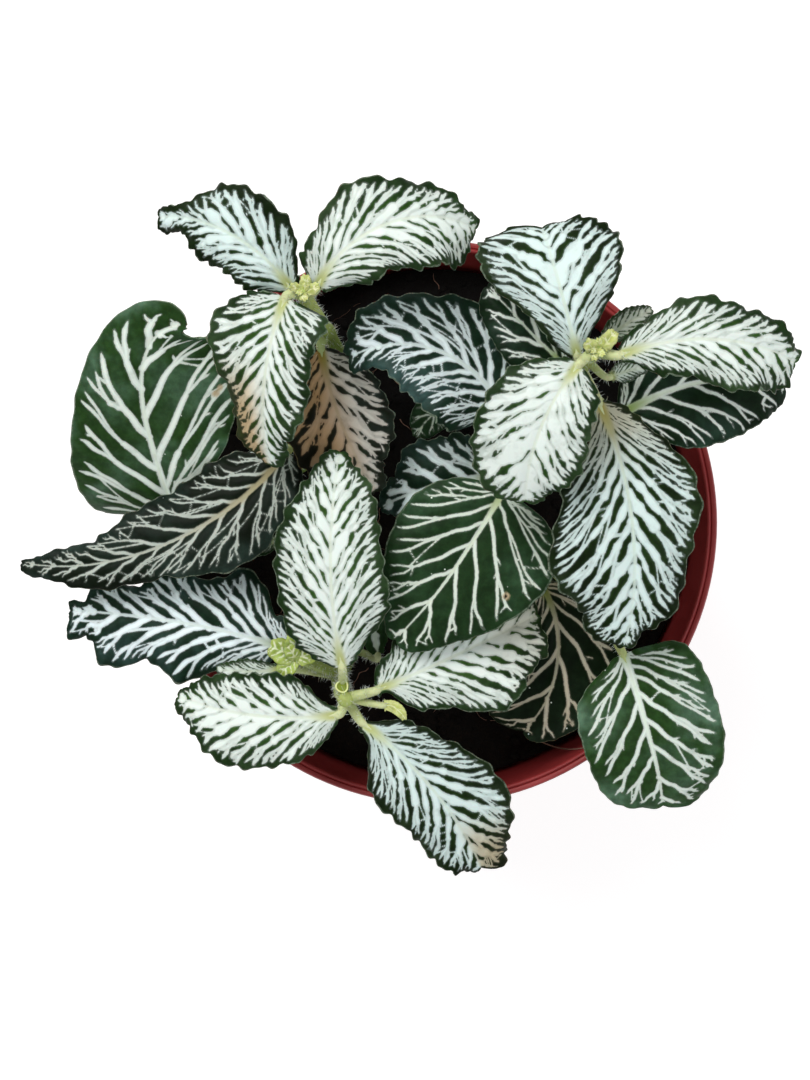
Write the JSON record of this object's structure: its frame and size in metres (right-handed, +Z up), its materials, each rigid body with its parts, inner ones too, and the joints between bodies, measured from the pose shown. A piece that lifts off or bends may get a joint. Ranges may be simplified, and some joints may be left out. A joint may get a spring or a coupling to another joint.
{
  "type": "potted nerve plant",
  "caption": "Low leafy house plant with white-veined wavy leaves on upright stems, growing in soil in a round tapered plastic pot with a banded rim.",
  "frame": {"origin": "middle of the pot's underside, on the surface it stands on", "axes": "+Z up, +X to the right and +Y to the top of the picture, which looks straight down"},
  "size_m": [0.155, 0.137, 0.1517],
  "materials": {
    "pot_plastic": "satin moulded red plastic, scuffed at the rim",
    "soil": "dark crumbly potting soil with fine fibres",
    "stem": "pale green stem with fine white hairs, browner low down",
    "leaf_pale": "young leaf, broad white veins over dark green with a dark green wavy edge",
    "leaf_tan": "shaded young leaf, cream to tan veins over dark green",
    "leaf_green": "older leaf, bright green with open white branching veins",
    "leaf_dark": "old leaf, dark green with fine pale veins",
    "leaf_silver": "net-veined leaf, blue-green with a soft silvery sheen",
    "leaf_bud": "pale yellow-green young leaflet"
  },
  "bodies": {
    "root": {"leaf_crown_front_a": "leaf_pale", "leaf_crown_front_b": "leaf_pale", "leaf_crown_front_c": "leaf_pale", "leaf_crown_front_d": "leaf_pale", "leaf_crown_left_a": "leaf_pale", "leaf_crown_left_b": "leaf_pale", "leaf_crown_left_c": "leaf_pale", "leaf_crown_left_d": "leaf_tan", "leaf_crown_right_a": "leaf_pale", "leaf_crown_right_b": "leaf_pale", "leaf_crown_right_c": "leaf_pale", "leaf_crown_right_d": "leaf_pale", "leaf_dark_corner": "leaf_dark", "leaf_long_left": "leaf_dark", "leaf_net_back": "leaf_silver", "leaf_old_back": "leaf_dark", "leaf_old_corner": "leaf_green", "leaf_old_left": "leaf_green", "leaf_old_middle": "leaf_dark", "leaf_old_right": "leaf_dark", "leaf_silver_left": "leaf_silver", "leaf_small_back": "leaf_dark", "leaf_small_bract": "leaf_bud", "leaf_small_front": "leaf_bud", "leaf_small_hidden": "leaf_dark", "leaf_small_left": "leaf_pale", "leaf_small_node": "leaf_pale", "leaf_small_right": "leaf_tan", "leaf_young_middle": "leaf_silver", "pot": "pot_plastic", "soil": "soil", "stem_back_left": "stem", "stem_back_right": "stem", "stem_front": "stem", "stem_left": "stem", "stem_middle": "stem", "stem_right": "stem"}
  },
  "joints": []
}
